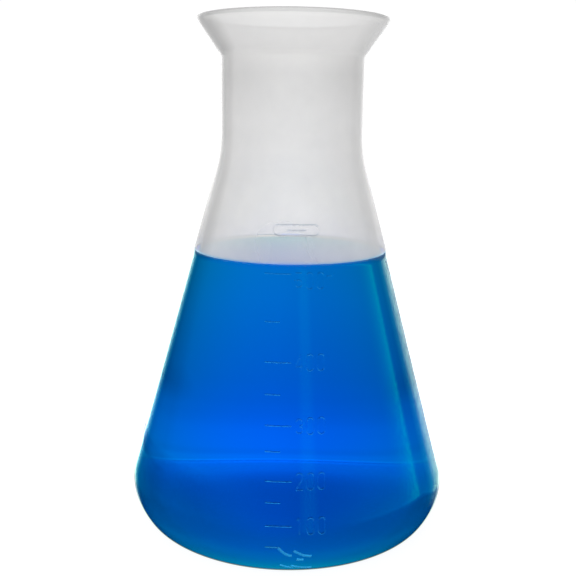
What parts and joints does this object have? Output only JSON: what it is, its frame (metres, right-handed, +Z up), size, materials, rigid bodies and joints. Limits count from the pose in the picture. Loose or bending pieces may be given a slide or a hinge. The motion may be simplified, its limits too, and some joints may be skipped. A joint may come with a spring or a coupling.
{
  "type": "erlenmeyer flask",
  "caption": "Wide-neck conical laboratory flask in milky plastic with raised graduation, holding a blue liquid.",
  "frame": {"origin": "on the axis, in the plane that the foot ring stands on", "axes": "+Z up along the axis of the flask, -Y towards the graduated side, +X to the right of someone who reads the graduation"},
  "size_m": [0.1074, 0.1077, 0.166],
  "materials": {
    "milky_plastic": "translucent moulded polypropylene with a soft gloss",
    "blue_liquid": "clear deep blue water"
  },
  "bodies": {
    "root": {"vessel": "milky_plastic", "liquid": "blue_liquid", "long_marks": "milky_plastic", "short_marks": "milky_plastic", "numerals": "milky_plastic", "unit_mark": "milky_plastic", "oval_mark": "milky_plastic"}
  },
  "joints": []
}
